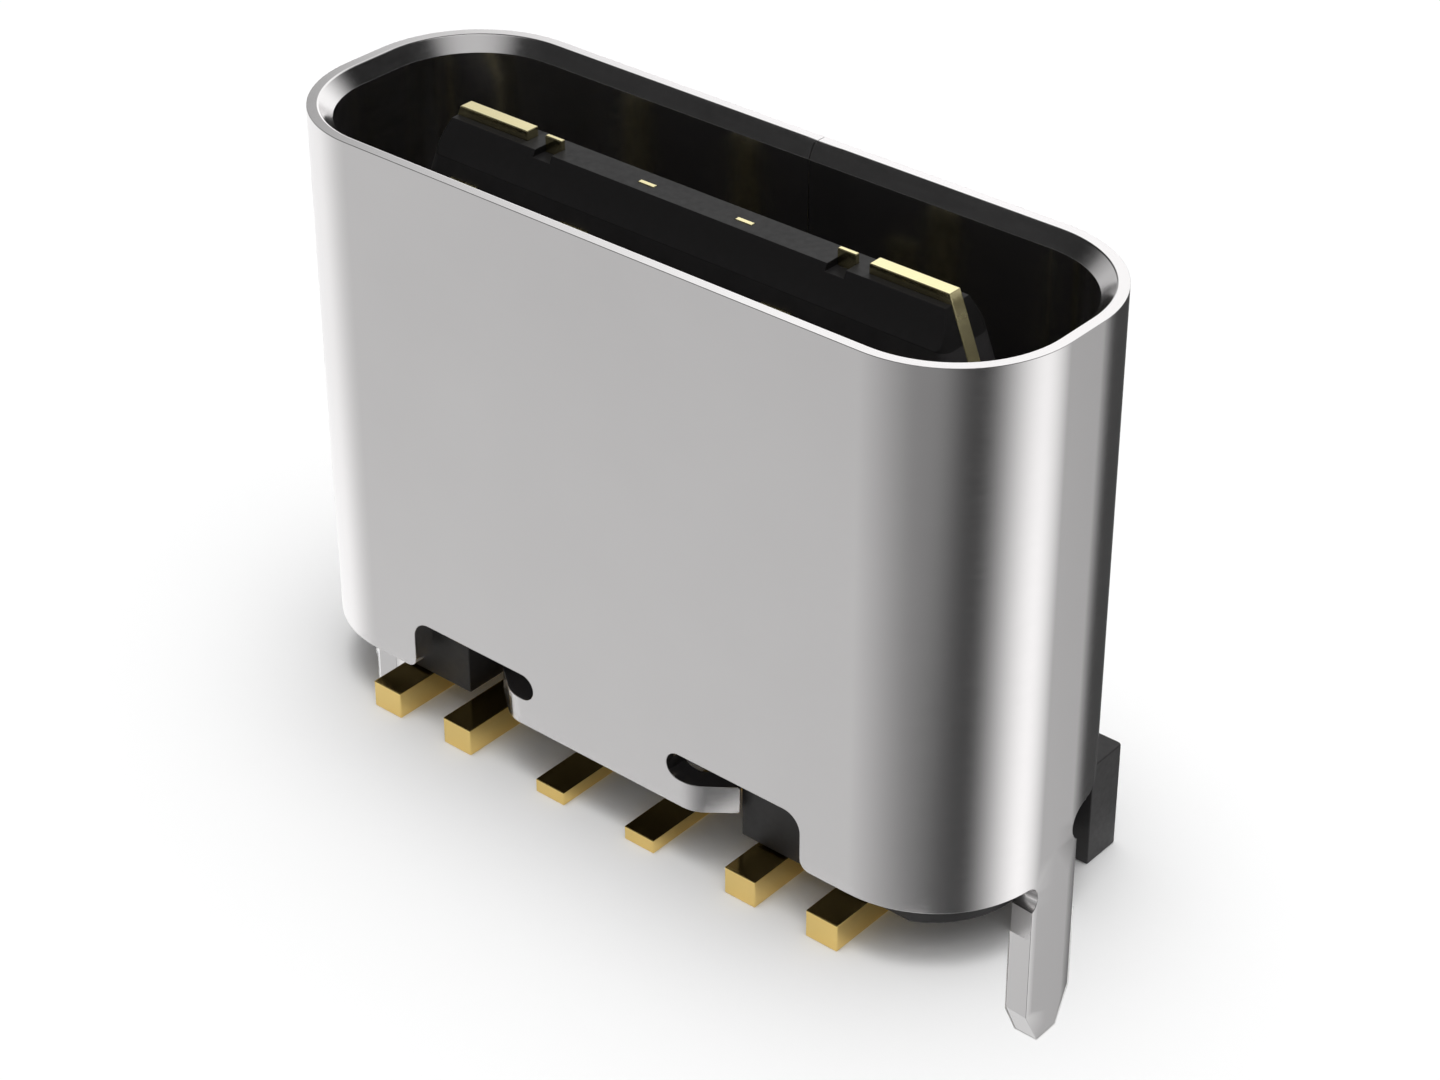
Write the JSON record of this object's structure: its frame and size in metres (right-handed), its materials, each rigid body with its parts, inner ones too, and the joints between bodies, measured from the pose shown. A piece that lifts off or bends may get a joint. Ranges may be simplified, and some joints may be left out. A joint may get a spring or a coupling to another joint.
{
  "type": "usb-c socket",
  "caption": "Upright usb-c socket for a circuit board: folded steel shell open at the top, black moulded housing and tongue, gold feet along the front and two stakes.",
  "frame": {"origin": "middle of the shell in plan, on the top face of the board (the plane of the solder feet)", "axes": "+Z out of the opening, the way the plug leaves; +X along the opening's long side; -Y towards the row of solder feet"},
  "size_m": [0.0088, 0.0031, 0.0078],
  "materials": {
    "shell_steel": "satin nickel plating on stainless sheet, sheared edges brighter",
    "housing_plastic": "fine matte moulded, black, glass filled",
    "insert_plastic": "smooth moulded, black, slightly glossier than the housing",
    "contact_gold": "thin gold plating on copper alloy strip, satin"
  },
  "bodies": {
    "root": {"shell": "shell_steel", "housing": "housing_plastic", "contact_insert": "insert_plastic", "ground_terminal_left": "contact_gold", "ground_terminal_right": "contact_gold", "power_terminal_left": "contact_gold", "power_terminal_right": "contact_gold", "cc_terminal_left": "contact_gold", "cc_terminal_right": "contact_gold"}
  },
  "joints": []
}
